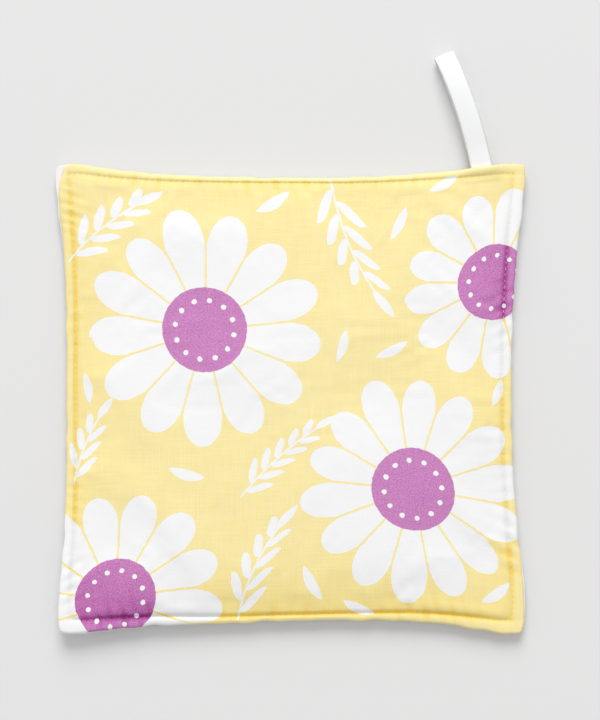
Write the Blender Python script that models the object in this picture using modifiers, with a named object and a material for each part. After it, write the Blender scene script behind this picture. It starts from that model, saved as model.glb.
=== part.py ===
"""Square padded pot holder, lying on its back, with a folded tape to hang it by.

Metres, with +Z up and +Y towards the edge that holds the tape.
The origin lies on the surface, under the middle of the pad.
"""

from collections import namedtuple
from math import cos, exp, hypot, pi, radians, sin

import bmesh
import bpy
import numpy as np

# Pad, seen from above
HALF = 0.1083  # from the middle to a corner, along X and along Y
SEAM_MARGIN = 0.0050  # from the edge to the topstitching, over the cloth
MARGIN_EASE = 0.0340  # how far in the narrowing of the margin is made up again
CORNER_ROUND = 0.0009  # how far a corner's point is rounded off
CORNER_ROUND_REACH = 0.0042
SIDE_BOW = 1.8  # how square the change from corner to middle is along a side

# Pad, through its thickness
PAD_HEIGHT = 0.0100  # from the surface to the top of the crown
BACK_CLOTH = 0.0012
GAP = 0.0003  # between touching pieces
RIM = 0.0016  # front solid at the seam
SHOULDER = 0.0075  # how fast the pad swells inside the topstitching
SHOULDER_SHARE = 0.74  # the rest of the crown rises evenly to the middle
CHANNEL_DEPTH = 0.0007
CHANNEL_HALF_WIDTH = 0.0008
SEAM_LIFT = 0.0022  # how far the rim curls up from the surface
SEAM_LIFT_WIDTH = 0.0200
CORNER_LIFT_REACH = 0.1100

# Hanging tape
TAPE_WIDTH = 0.0100
TAPE_THICK = 0.0010
TAPE_X = 0.0882  # middle of the tape where it leaves the seam
TAPE_Y = 0.1066
TAPE_LEAN = radians(12.0)  # to the left, at the seam
TAPE_CURVE = radians(0.228) / 0.001  # lean gained for each metre of tape
TAPE_TAB = 0.0080  # held inside the seam
TAPE_STEPS = 60
TAPE_RAISE = 0.0022  # front cloth lifted by the tape under it
TAPE_RAISE_HALF_WIDTH = 0.0095
TAPE_RAISE_DEPTH = 0.0085
POCKET_MOUTH = 0.0030  # cutter past the edge

# Distances in from the edge at which the pad is modelled, up to its middle
INSETS = (
    0.0, 0.0010, 0.0026, 0.0042, 0.0050, 0.0058, 0.0076, 0.0105, 0.0145,
    0.0200, 0.0260, 0.0340, 0.0470, 0.0650, 0.0860, HALF,
)

# Corners: place in the plane, and how far each curls up from the surface
Corner = namedtuple("Corner", "x y lift")
CORNERS = {
    "back_left": Corner(-0.1083, 0.1083, 0.0002),
    "back_right": Corner(0.1085, 0.1083, 0.0002),
    "front_left": Corner(-0.1073, -0.1080, 0.0032),
    "front_right": Corner(0.1071, -0.1088, 0.0000),
}

# Sides: the margin seen from above at a corner and at the middle, and the share of
# the pad's height that is reached at the topstitching
Side = namedtuple("Side", "corner margin stitch")
SIDES = {
    "back": Side(0.0048, 0.0025, 0.32),
    "front": Side(0.0068, 0.0030, 0.24),
    "left": Side(0.0056, 0.0042, 0.27),
    "right": Side(0.0058, 0.0044, 0.27),
}

# How far each side is drawn in between its corners
DrawnIn = namedtuple("DrawnIn", "along back front left right")
DRAWN_IN = (
    DrawnIn(-1.0, 0.0000, -0.0006, 0.0000, -0.0003),
    DrawnIn(-0.9, 0.0003, -0.0005, -0.0001, -0.0009),
    DrawnIn(-0.8, 0.0020, 0.0009, 0.0006, -0.0003),
    DrawnIn(-0.6, 0.0044, 0.0029, 0.0025, 0.0020),
    DrawnIn(-0.3, 0.0060, 0.0039, 0.0038, 0.0048),
    DrawnIn(0.0, 0.0065, 0.0053, 0.0040, 0.0057),
    DrawnIn(0.3, 0.0062, 0.0057, 0.0041, 0.0056),
    DrawnIn(0.6, 0.0041, 0.0047, 0.0032, 0.0038),
    DrawnIn(0.8, 0.0018, 0.0018, 0.0014, 0.0014),
    DrawnIn(0.9, 0.0003, -0.0001, 0.0003, 0.0003),
    DrawnIn(1.0, 0.0000, -0.0006, 0.0000, -0.0002),
)

# Corner at the back left, where the back cloth is rolled over the front's border
ROLL_WIDTH = 0.0042
ROLL_LENGTH = 0.0150

# How far the white back cloth reaches past the front's edge, or stays short of it
BackPast = namedtuple("BackPast", "along back front left right")
BACK_PAST = (
    BackPast(-1.0, -0.0003, 0.0002, -0.0003, 0.0002),
    BackPast(-0.8, -0.0003, 0.0007, -0.0003, 0.0006),
    BackPast(-0.5, -0.0003, -0.0002, -0.0005, -0.0004),
    BackPast(0.0, -0.0003, -0.0003, -0.0004, -0.0004),
    BackPast(0.5, -0.0003, -0.0004, -0.0003, -0.0004),
    BackPast(0.8, -0.0003, -0.0005, 0.0008, -0.0004),
    BackPast(1.0, -0.0003, -0.0003, 0.0006, -0.0003),
)

# Middle of the tape from the seam out over its upper leg, round the fold and
# back along the surface: distance out from the seam, and height
Bend = namedtuple("Bend", "out height")
TAPE_BENDS = (
    Bend(0.0080, 0.0058),
    Bend(0.0180, 0.0069),
    Bend(0.0300, 0.0075),
    Bend(0.0410, 0.0072),
    Bend(0.0490, 0.0060),
    Bend(0.0536, 0.0044),
    Bend(0.0550, 0.0028),
    Bend(0.0534, 0.0013),
    Bend(0.0480, 0.0005),
    Bend(0.0400, 0.0005),
    Bend(0.0260, 0.0005),
    Bend(0.0160, 0.0006),
    Bend(0.0080, 0.0022),
)

# Colour and roughness of each cloth
Finish = namedtuple("Finish", "colour roughness")
PRINTED_CANVAS = Finish((0.93, 0.76, 0.36), 0.85)
WHITE_CLOTH = Finish((0.90, 0.90, 0.89), 0.85)
WHITE_TAPE = Finish((0.93, 0.93, 0.93), 0.80)


def mix(start, end, share):
    """The value at a share of the way from start to end."""
    return start + (end - start) * share


def smooth(xs, ys, x):
    """Height at x of a smooth curve through the points (xs, ys)."""
    xs, ys = np.asarray(xs), np.asarray(ys)
    slopes = np.gradient(ys, xs)
    n = int(np.clip(np.searchsorted(xs, x) - 1, 0, len(xs) - 2))
    step = xs[n + 1] - xs[n]
    t = (x - xs[n]) / step
    rise = ys[n] * (1 + 2 * t) * (1 - t) ** 2 + ys[n + 1] * t * t * (3 - 2 * t)
    lean = slopes[n] * t * (1 - t) ** 2 - slopes[n + 1] * t * t * (1 - t)
    return float(rise + lean * step)


def read(table, side, along):
    """A table's value for one side at a place along it."""
    places = [row.along for row in table]
    return smooth(places, [getattr(row, side) for row in table], along)


def distances(u, v):
    """Distances in from the nearer X edge and from the nearer Y edge."""
    return HALF * (1 - abs(u)), HALF * (1 - abs(v))


def middle(corner_value, side_value, along):
    """A value that changes from the corners to the middle of a side."""
    return mix(corner_value, side_value, 1 - abs(along) ** SIDE_BOW)


def share_across(place, low_side, high_side, along):
    """Share of the way from the low side to the high side, as seen from above."""
    side = low_side if place < 0 else high_side
    margin = middle(SIDES[side].corner, SIDES[side].margin, along)
    inset = HALF * (1 - abs(place))
    seen = np.interp(
        inset, (0.0, SEAM_MARGIN, MARGIN_EASE, HALF), (0.0, margin, MARGIN_EASE, HALF)
    )
    share = seen / (2 * HALF)
    return share if place < 0 else 1 - share


def rounding(u, v):
    """How far a point near a corner is drawn in along X and along Y."""
    reach = max(0.0, 1 - hypot(*distances(u, v)) / CORNER_ROUND_REACH)
    return CORNER_ROUND * reach**2


def plan(u, v, past=None):
    """Place in the plane of a point of the pad, whose sides are at u or v = -1 and 1.

    past is a table of how far this cloth reaches past the front's edge.
    """
    over = {side: read(past, side, v if side in ("left", "right") else u) if past else 0.0
            for side in SIDES}
    up, across = (1 + v) / 2, (1 + u) / 2
    left = mix(CORNERS["front_left"].x, CORNERS["back_left"].x, up)
    left += read(DRAWN_IN, "left", v) - over["left"]
    right = mix(CORNERS["front_right"].x, CORNERS["back_right"].x, up)
    right += over["right"] - read(DRAWN_IN, "right", v)
    front = mix(CORNERS["front_left"].y, CORNERS["front_right"].y, across)
    front += read(DRAWN_IN, "front", u) - over["front"]
    back = mix(CORNERS["back_left"].y, CORNERS["back_right"].y, across)
    back += over["back"] - read(DRAWN_IN, "back", u)
    x = mix(left, right, share_across(u, "left", "right", v))
    y = mix(front, back, share_across(v, "front", "back", u))
    inward = rounding(u, v)
    rolled = 0.0 if past else rolled_in(u, v)
    return x - np.sign(u) * inward + rolled, y - np.sign(v) * inward


def rolled_in(u, v):
    """How far the front's left border gives way to the back cloth at its upper corner."""
    down = max(0.0, 1 - HALF * (1 - v) / ROLL_LENGTH)
    across = max(0.0, 1 - HALF * (1 + u) / SEAM_MARGIN)
    return ROLL_WIDTH * across * down**1.3


def lift(u, v):
    """How far the cloth that lies on the surface curls up from it."""
    flat = 1.0
    for inset in distances(u, v):
        flat *= 1 - max(0.0, 1 - inset / SEAM_LIFT_WIDTH) ** 2
    height = SEAM_LIFT * (1 - flat)
    for corner in CORNERS.values():
        away = hypot(HALF * u - np.sign(corner.x) * HALF, HALF * v - np.sign(corner.y) * HALF)
        height += corner.lift * max(0.0, 1 - away / CORNER_LIFT_REACH) ** 2
    return height


def swell(inset, stitch):
    """Share of the crown's height that is reached at a distance in from an edge."""
    if inset < SEAM_MARGIN:
        return stitch * sin(pi / 2 * inset / SEAM_MARGIN)
    inward = inset - SEAM_MARGIN
    shoulder = 1 - exp(-inward / SHOULDER)
    even = 1 - (1 - inward / (HALF - SEAM_MARGIN)) ** 2
    return mix(stitch, 1.0, mix(even, shoulder, SHOULDER_SHARE))


def tape_raise(u, v):
    """How far the tape in the seam lifts the front cloth over it."""
    if v < 0:
        return 0.0
    beside = (HALF * u - TAPE_X) / TAPE_RAISE_HALF_WIDTH
    depth = max(0.0, 1 - HALF * (1 - v) / TAPE_RAISE_DEPTH)
    return TAPE_RAISE * depth / (1 + beside**6)


def back_under(u, v):
    """Lower face of the back cloth."""
    return lift(u, v)


def back_top(u, v):
    """Upper face of the back cloth."""
    return lift(u, v) + BACK_CLOTH


def front_under(u, v):
    """Lower face of the filled front."""
    return back_top(u, v) + GAP


def front_top(u, v):
    """Crowned upper face of the front, with the channel of the topstitching."""
    across, along = distances(u, v)
    swell_x = swell(across, SIDES["left" if u < 0 else "right"].stitch)
    swell_y = swell(along, SIDES["front" if v < 0 else "back"].stitch)
    crown = PAD_HEIGHT - BACK_CLOTH - GAP - RIM
    from_stitch = abs(min(across, along) - SEAM_MARGIN)
    channel = CHANNEL_DEPTH * max(0.0, 1 - from_stitch / CHANNEL_HALF_WIDTH)
    return front_under(u, v) + RIM + tape_raise(u, v) + crown * swell_x * swell_y - channel


def stations():
    """Places of the grid's lines, from -1 to 1."""
    half = [1 - inset / HALF for inset in INSETS]
    return [-place for place in half] + half[-2::-1]


def material(name, finish):
    """A cloth's material."""
    made = bpy.data.materials.new(name)
    made.use_nodes = True
    shader = made.node_tree.nodes["Principled BSDF"]
    shader.inputs["Base Color"].default_value = (*finish.colour, 1.0)
    shader.inputs["Roughness"].default_value = finish.roughness
    shader.inputs["Metallic"].default_value = 0.0
    return made


def add_object(name, mesh_data, finish, collection):
    """A named object of a finished mesh, shaded smooth."""
    made = bpy.data.objects.new(name, mesh_data)
    mesh_data.shade_smooth()
    mesh_data.materials.append(material(name + "_cloth", finish))
    collection.objects.link(made)
    return made


def pad_layer(name, under, top, finish, collection, past=None):
    """One cloth or filled layer of the pad, closed between its lower and upper faces."""
    lines = stations()
    count = len(lines) - 1
    mesh = bmesh.new()
    bmesh.ops.create_grid(mesh, x_segments=count, y_segments=count, size=1.0)
    low = list(mesh.verts)
    made = bmesh.ops.extrude_face_region(mesh, geom=mesh.faces[:])
    high = [part for part in made["geom"] if isinstance(part, bmesh.types.BMVert)]
    for points, height in ((low, under), (high, top)):
        for point in points:
            u = lines[round((point.co.x + 1) / 2 * count)]
            v = lines[round((point.co.y + 1) / 2 * count)]
            point.co = (*plan(u, v, past), height(u, v))
    bmesh.ops.recalc_face_normals(mesh, faces=mesh.faces[:])
    data = bpy.data.meshes.new(name)
    mesh.to_mesh(data)
    mesh.free()
    return add_object(name, data, finish, collection)


def tape_place(out, beside):
    """Place in the plane of a point of the tape: out from the seam, and beside its middle."""
    lean = TAPE_LEAN + TAPE_CURVE * out
    x = TAPE_X - (cos(TAPE_LEAN) - cos(lean)) / TAPE_CURVE
    y = TAPE_Y + (sin(lean) - sin(TAPE_LEAN)) / TAPE_CURVE
    return x + beside * cos(lean), y + beside * sin(lean)


def seam_height():
    """Height at which the tape's lower leg lies in the seam."""
    return front_under(TAPE_X / HALF, 1.0)


def tape_line():
    """Evenly spaced points along the middle of the tape, as distance out and height."""
    low = seam_height() + TAPE_THICK / 2
    high = low + TAPE_THICK + GAP
    outs = (-TAPE_TAB, -TAPE_TAB / 2, 0.0)
    bends = [Bend(out, high) for out in outs]
    bends += [*TAPE_BENDS, *(Bend(out, low) for out in reversed(outs))]
    steps = [hypot(b.out - a.out, b.height - a.height) for a, b in zip(bends, bends[1:])]
    lengths = np.concatenate(([0.0], np.cumsum(steps)))
    for length in np.linspace(0.0, lengths[-1], TAPE_STEPS + 1):
        out = smooth(lengths, [bend.out for bend in bends], length)
        height = smooth(lengths, [bend.height for bend in bends], length)
        yield out, max(height, TAPE_THICK / 2)


def hanging_loop(collection):
    """Cotton tape folded double, with both ends held in the seam."""
    name = "hanging_loop"
    line = list(tape_line())
    mesh = bmesh.new()
    bmesh.ops.create_grid(mesh, x_segments=TAPE_STEPS, y_segments=1, size=1.0)
    for point in mesh.verts:
        out, height = line[round((point.co.x + 1) / 2 * TAPE_STEPS)]
        point.co = (*tape_place(out, point.co.y * TAPE_WIDTH / 2), height)
    data = bpy.data.meshes.new(name)
    mesh.to_mesh(data)
    mesh.free()
    loop = add_object(name, data, WHITE_TAPE, collection)
    wall = loop.modifiers.new("tape", "SOLIDIFY")
    wall.thickness = TAPE_THICK
    wall.offset = 0.0
    wall.use_even_offset = True
    return loop


def tape_pocket(collection):
    """Cutter for the room of the tape's ends, open towards the back cloth."""
    name = "tape_pocket"
    top = seam_height() + 2 * TAPE_THICK + 2 * GAP
    beside = TAPE_WIDTH / 2 + GAP
    mesh = bmesh.new()
    bmesh.ops.create_cube(mesh, size=2.0)
    for point in mesh.verts:
        out = mix(-TAPE_TAB - GAP, POCKET_MOUTH, (point.co.y + 1) / 2)
        height = top if point.co.z > 0 else 0.0
        point.co = (*tape_place(out, point.co.x * beside), height)
    data = bpy.data.meshes.new(name)
    mesh.to_mesh(data)
    mesh.free()
    cutter = bpy.data.objects.new(name, data)
    cutter.hide_render = True
    cutter.display_type = "WIRE"
    collection.objects.link(cutter)
    return cutter


def cut(body, cutter):
    """Cuts a closed cutter out of a body."""
    pocket = body.modifiers.new(cutter.name, "BOOLEAN")
    pocket.operation = "DIFFERENCE"
    pocket.solver = "EXACT"
    pocket.object = cutter


def new_collection(name):
    """A collection in the scene."""
    made = bpy.data.collections.new(name)
    bpy.context.scene.collection.children.link(made)
    return made


def main():
    """Builds the pot holder."""
    for thing in list(bpy.data.objects):
        bpy.data.objects.remove(thing, do_unlink=True)
    parts = new_collection("pot_holder")
    cutters = new_collection("cutters")
    front = pad_layer("front_panel", front_under, front_top, PRINTED_CANVAS, parts)
    pad_layer("back_panel", back_under, back_top, WHITE_CLOTH, parts, past=BACK_PAST)
    hanging_loop(parts)
    cut(front, tape_pocket(cutters))


main()
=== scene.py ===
"""Looks of a square padded pot holder that lies on its back.

Metres, in the solids' frame: +Z up, +Y towards the edge that holds the tape.
The printed front is a padded piece, the white back a laid sheet, and the tape a
folded one. The topstitching is laid along the channel by Geometry Nodes.
"""

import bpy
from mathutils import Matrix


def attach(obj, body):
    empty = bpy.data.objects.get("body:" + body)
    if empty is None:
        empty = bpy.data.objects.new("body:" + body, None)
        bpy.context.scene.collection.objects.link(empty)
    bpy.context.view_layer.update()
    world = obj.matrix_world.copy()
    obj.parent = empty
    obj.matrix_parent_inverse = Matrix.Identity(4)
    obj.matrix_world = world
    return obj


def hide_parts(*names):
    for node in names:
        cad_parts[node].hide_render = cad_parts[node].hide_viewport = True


bl_info = {
    "name": "Pot Holder",
    "version": (1, 0, 0),
    "blender": (4, 5, 0),
    "location": "3D View > Sidebar > Pot Holder",
    "description": "Printed canvas, stitches and tape for a padded pot holder",
    "category": "Object",
}

from collections import namedtuple
from math import cos, pi, radians, sin, tan

import bpy
import numpy as np
from bpy.props import FloatProperty, FloatVectorProperty, IntProperty, PointerProperty

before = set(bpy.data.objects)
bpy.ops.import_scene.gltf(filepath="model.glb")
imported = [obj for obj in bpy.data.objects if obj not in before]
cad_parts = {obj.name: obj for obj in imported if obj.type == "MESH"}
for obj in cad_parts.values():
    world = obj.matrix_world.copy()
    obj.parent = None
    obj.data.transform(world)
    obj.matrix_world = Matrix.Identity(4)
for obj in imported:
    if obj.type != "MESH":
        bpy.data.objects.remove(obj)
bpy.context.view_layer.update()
ROOT = "root"
MM = 0.001

# Pad, seen from above, as in the solids
HALF = 0.1083  # from the middle to a corner, along X and along Y
SEAM_MARGIN = 0.0050  # from the edge to the topstitching, over the cloth
MARGIN_EASE = 0.0340  # and from there to where a place is seen as it lies
CORNER_ROUND = 0.0009  # how far a corner's tip is drawn in
CORNER_ROUND_REACH = 0.0042
SIDE_BOW = 1.8  # how soon a side's values give way to its corners'

# Pad, through its thickness
PAD_HEIGHT = 0.0100
BACK_CLOTH = 0.0012
GAP = 0.0003
RIM = 0.0016
FOOT = 0.0030  # how fast the cloth rises beside the stitches
FOOT_SHARE = 0.13
SHOULDER = 0.0100  # and how fast the pad swells further in
SHOULDER_SHARE = 0.65
SEAM_LIFT = 0.0022  # of the rim from the surface
SEAM_LIFT_WIDTH = 0.0200
CORNER_LIFT_REACH = 0.1100
RIM_ROUND = 0.0007  # the turned edge's round, seen from above
RIM_DROP = 0.0006  # and its height
BORDER_ROUND = 3.0  # how soon the border levels off from its turned edge
SEAM_TOUCH = 0.00005  # left between the two cloths at the seam
TURNING = (0.0018, 0.0050)  # where the back cloth thickens towards its turned edge
UNDERSIDE_RELIEF = 0.4  # of the channel and the turned edge, against the front's

# Hanging tape
TAPE_X = 0.0882
TAPE_Y = 0.1066
TAPE_LEAN = radians(12.0)
TAPE_CURVE = radians(0.228) / 0.001
TAPE_TAB = 0.0080
TAPE_SOLID = 0.0010  # thickness of the tape's solid
TAPE_RAISE = 0.0022
TAPE_RAISE_HALF_WIDTH = 0.0095
TAPE_RAISE_DEPTH = 0.0085
TAPE_EDGE = 8  # how square the tape's edges are
TAPE_CUP_START = 0.006  # where the tape is cupped in full, out from the seam

# Zones of the fine grid from the edge in: where each ends, and its number of lines
Zone = namedtuple("Zone", "end lines")
FRONT_ZONES = (Zone(0.0012, 6), Zone(0.0130, 26), Zone(HALF, 96))
BACK_ZONES = (Zone(0.0012, 4), Zone(0.0110, 14), Zone(HALF, 54))
UNDER_STEP = 4  # the hidden underside uses every fourth line

Corner = namedtuple("Corner", "x y lift")
CORNERS = {
    "back_left": Corner(-0.1083, 0.1083, 0.0002),
    "back_right": Corner(0.1085, 0.1083, 0.0002),
    "front_left": Corner(-0.1073, -0.1080, 0.0032),
    "front_right": Corner(0.1071, -0.1088, 0.0000),
}

# For each side: distance from the edge to the stitches at its corners and in its middle, as seen from
# above, the stitches' height as a share of the crown's, how deep they are drawn in, which also scales
# the painted shade along the channel and on the slopes inside it, and how far its edge waves
Side = namedtuple("Side", "corner margin stitch channel waves")
SIDES = {
    "back": Side(0.0048, 0.0025, 0.32, 0.28, 0.00020),
    "front": Side(0.0068, 0.0030, 0.24, 1.10, 0.00045),
    "left": Side(0.0056, 0.0042, 0.27, 0.72, 0.00028),
    "right": Side(0.0058, 0.0044, 0.27, 0.65, 0.00034),
}

# Waves of every edge
Wave = namedtuple("Wave", "length start")
EDGE_WAVES = (
    Wave(0.0270, 0.8),
    Wave(0.0172, 2.9),
    Wave(0.0131, 4.6),
)

# How far each side is drawn in between its corners
DrawnIn = namedtuple("DrawnIn", "along back front left right")
DRAWN_IN = (
    DrawnIn(-1.0, 0.0000, -0.0006, 0.0000, -0.0003),
    DrawnIn(-0.9, 0.0003, -0.0005, -0.0001, -0.0009),
    DrawnIn(-0.8, 0.0020, 0.0009, 0.0006, -0.0003),
    DrawnIn(-0.6, 0.0044, 0.0029, 0.0025, 0.0020),
    DrawnIn(-0.3, 0.0060, 0.0039, 0.0038, 0.0048),
    DrawnIn(0.0, 0.0065, 0.0053, 0.0040, 0.0057),
    DrawnIn(0.3, 0.0062, 0.0057, 0.0041, 0.0056),
    DrawnIn(0.6, 0.0041, 0.0047, 0.0032, 0.0038),
    DrawnIn(0.8, 0.0018, 0.0018, 0.0014, 0.0014),
    DrawnIn(0.9, 0.0003, -0.0001, 0.0003, 0.0003),
    DrawnIn(1.0, 0.0000, -0.0006, 0.0000, -0.0002),
)

# Corner at the back left, where the back cloth is rolled over the front's border
ROLL_WIDTH = 0.0042
ROLL_LENGTH = 0.0150
ROLL_TAPER = 1.3

# How far the white back cloth reaches past the front's edge, or stays short of it
BackPast = namedtuple("BackPast", "along back front left right")
BACK_PAST = (
    BackPast(-1.0, -0.0003, 0.0002, -0.0003, 0.0002),
    BackPast(-0.8, -0.0003, 0.0007, -0.0003, 0.0006),
    BackPast(-0.5, -0.0003, -0.0002, -0.0005, -0.0004),
    BackPast(0.0, -0.0003, -0.0003, -0.0004, -0.0004),
    BackPast(0.5, -0.0003, -0.0004, -0.0003, -0.0004),
    BackPast(0.8, -0.0003, -0.0005, 0.0008, -0.0004),
    BackPast(1.0, -0.0003, -0.0003, 0.0006, -0.0003),
)

# Middle of the tape over its upper leg, round the fold and back along the surface
Bend = namedtuple("Bend", "out height")
TAPE_BENDS = (
    Bend(0.0080, 0.0058),
    Bend(0.0180, 0.0069),
    Bend(0.0300, 0.0075),
    Bend(0.0410, 0.0072),
    Bend(0.0490, 0.0060),
    Bend(0.0536, 0.0044),
    Bend(0.0550, 0.0028),
    Bend(0.0534, 0.0013),
    Bend(0.0480, 0.0005),
    Bend(0.0400, 0.0005),
    Bend(0.0260, 0.0005),
    Bend(0.0160, 0.0006),
    Bend(0.0080, 0.0022),
)

# Puckers that the topstitching draws in the front: place and spread along the side
# as shares of its half, height, wave length, and lean across the border. A second,
# longer wave leans the other way.
SECOND_WAVE = Wave(1.7, 1.3)
SECOND_SHARE = 0.5
Pucker = namedtuple("Pucker", "side at spread height wave lean")
PUCKERS = (
    Pucker("left", 0.80, 0.10, 0.00030, 0.0046, 0.3),
    Pucker("left", 0.30, 0.25, 0.00010, 0.0062, -0.2),
    Pucker("left", -0.40, 0.22, 0.00014, 0.0055, 0.2),
    Pucker("left", -0.80, 0.12, 0.00022, 0.0060, -0.5),
    Pucker("right", 0.36, 0.14, 0.00026, 0.0066, 0.4),
    Pucker("right", -0.20, 0.30, 0.00010, 0.0058, 0.1),
    Pucker("right", -0.62, 0.14, 0.00030, 0.0072, -0.4),
    Pucker("back", -0.60, 0.22, 0.00014, 0.0058, 0.3),
    Pucker("back", -0.10, 0.24, 0.00022, 0.0070, -0.3),
    Pucker("back", 0.45, 0.20, 0.00012, 0.0060, 0.2),
    Pucker("front", -0.70, 0.20, 0.00020, 0.0062, 0.3),
    Pucker("front", -0.10, 0.28, 0.00014, 0.0078, -0.2),
    Pucker("front", 0.55, 0.24, 0.00022, 0.0066, 0.4),
)

# Padding: lengths of its shortest and longest wave, and its soft hollows
LUMP_WAVES = (0.034, 0.085)
Hollow = namedtuple("Hollow", "x y reach depth")
HOLLOWS = (
    Hollow(-0.079, -0.069, 0.016, 0.00060),
    Hollow(0.092, -0.078, 0.012, 0.00050),
    Hollow(-0.088, 0.080, 0.014, 0.00040),
    Hollow(0.030, 0.088, 0.018, 0.00035),
    Hollow(0.084, 0.030, 0.016, 0.00035),
)

# Topstitching
SUNK_STITCHES = (0.75, 1.05)  # depths of channel between which stitches sink out of sight
STITCH_SINK = (0.20, 0.90)  # how far into the cloth, in widths of thread, less and more
STITCH_STEPS = 5
ArcPoint = namedtuple("ArcPoint", "along height")  # in lengths and in widths of thread
STITCH_ARC = (ArcPoint(-0.5, -0.75), ArcPoint(0.0, 0.95), ArcPoint(0.5, -0.75))

# Channel that the topstitching draws in
CHANNEL_BLEND = 0.006  # how soon one side's share of it gives way at a corner
CHANNEL_INSIDE = 1.4  # width of its inner slope against the outer one
CHANNEL_CORNER = (0.006, 0.034)  # distances from a corner between which it deepens
CHANNEL_AT_CORNER = 0.6

# Painted shade: how much darker and deeper in colour the print is drawn on the channel's line, at the
# edge, on the slopes inside the channel, towards the front edge and in the puckers' hollows
LINE_PAINTED_SHADE = 1.15
LINE_SLOPES = (0.0013, 0.0012)  # widths outwards and inwards
LINE_CORNER = (0.010, 0.032)
LINE_AT_CORNER = 0.4
EDGE_PAINTED_SHADE = 0.2
EDGE_REACH = 0.0006
SLOPE_START = (-0.0004, 0.0010)
SLOPE_PAINTED_SHADE = 0.30
SLOPE_REACH = 0.014
FRONT_PAINTED_SHADE = 0.35
FRONT_SLOPE_REACH = 0.012
FOLD_PAINTED_SHADE = 0.5
FOLD_HEIGHT = 0.0002
DEEPEST_PAINTED_SHADE = 1.4

# Simulation of the front cloth between its stitches
SETTLE_LINES = 61
SETTLE_FRAMES = 20
SETTLE_BLUR = 5  # wrinkles are what stands out from this many lines around
SETTLE_EASE = 0.0030
SETTLE_CAP = 0.0006
CLOTH_SETTINGS = {
    "mass": 0.02,
    "tension_stiffness": 30.0,
    "compression_stiffness": 30.0,
    "shear_stiffness": 8.0,
    "bending_stiffness": 0.1,
}

# Print on the flat cloth, in millimetres and radians: flowers, sprigs, loose leaves
Daisy = namedtuple("Daisy", "x y reach disc petals turn")
DAISIES = (
    Daisy(-41, 34, 57, 20.5, 13, 0.10),
    Daisy(59, -44, 55, 20.0, 14, 0.35),
    Daisy(-82, -94, 52, 19.0, 13, 0.60),
    Daisy(98, 54, 45, 17.5, 13, 0.20),
)
Sprig = namedtuple("Sprig", "x y turn bend length leaf width")
SPRIGS = (
    Sprig(-106, 63, radians(50), -0.004, 45, 17, 2.2),
    Sprig(18, 106, radians(-80), 0.004, 58, 19, 2.4),
    Sprig(-104, -40, radians(80), -0.006, 33, 14, 2.0),
    Sprig(-25, -106, radians(82), -0.006, 46, 17, 2.3),
    Sprig(-24, -47, radians(50), -0.003, 50, 14, 1.9),
)
Leaf = namedtuple("Leaf", "x y turn length width")
LEAVES = (
    Leaf(-8, 94, radians(30), 18, 2.6),
    Leaf(51, 84, radians(66), 16, 2.3),
    Leaf(26, 26, radians(75), 16, 2.2),
    Leaf(50, 23, radians(25), 17, 2.4),
    Leaf(-97, 5, radians(100), 14, 2.1),
    Leaf(-50, -36, radians(-15), 18, 2.6),
    Leaf(9, -89, radians(-62), 18, 2.5),
    Leaf(101, 3, radians(70), 13, 2.2),
    Leaf(96, -91, radians(38), 17, 2.5),
    Leaf(31, -101, radians(-24), 16, 2.3),
    Leaf(71, 101, radians(28), 15, 2.3),
)
SOFT_EDGE = 0.12  # of the printed shapes

# A flower's petals and the ring of dots on its disc
PETAL_LENGTHS = (0.93, 1.02)  # shortest and longest, as shares of the flower's reach
PETAL_ROOT = 0.7  # where a petal starts, as a share of the disc
PETAL_WIDEST = 0.66  # where it is widest, as a share of its length
PETAL_TIP = 2.3  # how blunt its tip is
PETAL_GAP = 0.55  # half the gap between two petals
PETAL_FULL = 0.90
DOT_COUNT = 12
DOT_RING = 0.70  # the ring's radius and a dot's, as shares of the disc
DOT_SIZE = 0.062

# A sprig's stem and leaves
LEAF_SLANT = radians(38)
LEAF_PITCH = 0.62  # from leaf to leaf along the stem, in leaf lengths
LEAF_TAPER = 0.42  # how much shorter the leaves get up the stem
LEAF_BOW = 0.85  # how full a leaf's outline is
LEAF_BEND = 0.012
TIP_START = 0.97
TIP_LENGTH = 0.8
STEM_HALF_WIDTH = 0.45

# Finish of the cloths and the thread, in millimetres where it is a size
HOLE_RADIUS = 0.34  # a needle hole's
HOLE_EDGE = 0.2
HOLE_PAINTED_SHADE = 0.7  # painted shade in a needle hole: how much it darkens the print
RIB_PITCH = 0.9
TAPE_YARN = 0.42
PLY_PITCH = 0.5
Relief = namedtuple("Relief", "strength distance")
UV_SPAN = 0.25  # metres of cloth across the UV map

# Stage
FLOOR_HALF = 3.0
FLOOR_LEVEL = -0.0001
FRAME_HEIGHT = 0.3334  # what the picture shows from top to bottom, at the pad's rim
RIM_LEVEL = 0.004
VIEW_X = 0.0042
VIEW_Y = 0.0176
SENSOR = 24.0
LAMP_DISTANCE = 6.0
Lamp = namedtuple("Lamp", "size height turn")
LAMPS = {  # height above the floor, and turn to the left of the top edge, as angles
    "key": Lamp(3.7, radians(36), radians(2)),
    "side": Lamp(6.0, radians(30), radians(85)),
}


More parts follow.
